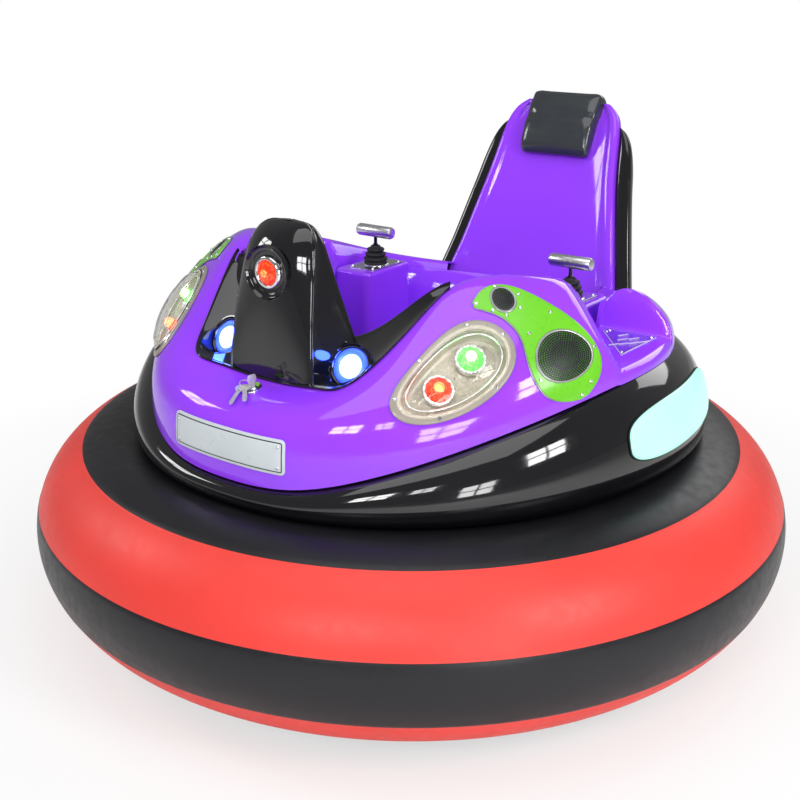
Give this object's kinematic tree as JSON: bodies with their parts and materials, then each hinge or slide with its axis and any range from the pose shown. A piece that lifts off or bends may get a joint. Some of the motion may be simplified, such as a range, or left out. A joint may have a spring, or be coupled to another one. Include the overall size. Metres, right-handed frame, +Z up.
{
  "type": "bumper car",
  "caption": "Round electric bumper car with an inflated ring bumper, moulded body, tall seat, joysticks, lamps, motor wheels and swivelling casters.",
  "frame": {"origin": "on the floor under the middle of the ring bumper", "axes": "+Z up, the front faces -Y, +X is the driver's left"},
  "size_m": [1.8, 1.8, 1.1779],
  "materials": {
    "ring_pvc": "satin heavy PVC with black bands",
    "frame_steel": "dark powder coat",
    "battery_case": "moulded case",
    "zinc_metal": "zinc plated steel",
    "tyre_rubber": "solid rubber",
    "caster_rubber": "grey black caster rubber",
    "black_shell": "high gloss gel coat",
    "purple_shell": "high gloss gel coat",
    "black_vinyl": "padded vinyl",
    "chrome_metal": "brushed chrome",
    "red_lamp": "clear red lens",
    "blue_lamp": "clear lens with blue glow in a black socket",
    "lamp_housing": "clear tinted bezel and bowl",
    "clear_lens": "clear dome",
    "green_panel": "satin panel with perforated grilles",
    "pale_plate": "blank plate with a black edge",
    "step_metal": "painted tread plate",
    "glow_plastic": "lit diffuser"
  },
  "bodies": {
    "car": {"bumper_tube": "ring_pvc", "chassis_frame": "frame_steel", "battery_block": "battery_case", "drive_motor_left": "zinc_metal", "drive_motor_right": "zinc_metal", "skirt": "black_shell", "body_shell": "purple_shell", "cockpit_lining": "purple_shell", "seat_shell": "purple_shell", "seat_back_cover": "black_shell", "headrest": "black_vinyl", "joystick_console_left": "purple_shell", "joystick_console_right": "purple_shell", "joystick_base_left": "zinc_metal", "joystick_base_right": "zinc_metal", "joystick_grip_left": "chrome_metal", "joystick_grip_right": "chrome_metal", "front_fascia": "black_shell", "nose_lamp": "red_lamp", "headlamp_left": "blue_lamp", "headlamp_right": "blue_lamp", "side_light_housing_left": "lamp_housing", "side_light_housing_right": "lamp_housing", "side_light_lens_left": "clear_lens", "side_light_lens_right": "clear_lens", "speaker_panel_left": "green_panel", "speaker_panel_right": "green_panel", "number_plate": "pale_plate", "key_switch": "chrome_metal", "step_plate_left": "step_metal", "step_plate_right": "step_metal", "glow_panel_left": "glow_plastic", "glow_panel_right": "glow_plastic"},
    "drive_wheel_left": {"drive_hub_left": "zinc_metal", "drive_tyre_left": "tyre_rubber"},
    "drive_wheel_right": {"drive_hub_right": "zinc_metal", "drive_tyre_right": "tyre_rubber"},
    "caster_front_swivel": {"caster_fork_front": "zinc_metal"},
    "caster_front_roller": {"caster_wheel_front": "caster_rubber"},
    "caster_rear_swivel": {"caster_fork_rear": "zinc_metal"},
    "caster_rear_roller": {"caster_wheel_rear": "caster_rubber"}
  },
  "joints": [
    {"name": "drive_left_spin", "type": "hinge", "parent": "car", "child": "drive_wheel_left", "pos_m": [0.33, 0, 0.1], "axis": [1, 0, 0], "continuous": true},
    {"name": "drive_right_spin", "type": "hinge", "parent": "car", "child": "drive_wheel_right", "pos_m": [-0.33, 0, 0.1], "axis": [1, 0, 0], "continuous": true},
    {"name": "caster_front_turn", "type": "hinge", "parent": "car", "child": "caster_front_swivel", "pos_m": [0, -0.35, 0.13], "axis": [0, 0, 1], "continuous": true},
    {"name": "caster_front_spin", "type": "hinge", "parent": "caster_front_swivel", "child": "caster_front_roller", "pos_m": [0, -0.322, 0.05], "axis": [1, 0, 0], "continuous": true},
    {"name": "caster_rear_turn", "type": "hinge", "parent": "car", "child": "caster_rear_swivel", "pos_m": [0, 0.35, 0.13], "axis": [0, 0, 1], "continuous": true},
    {"name": "caster_rear_spin", "type": "hinge", "parent": "caster_rear_swivel", "child": "caster_rear_roller", "pos_m": [0, 0.378, 0.05], "axis": [1, 0, 0], "continuous": true}
  ]
}
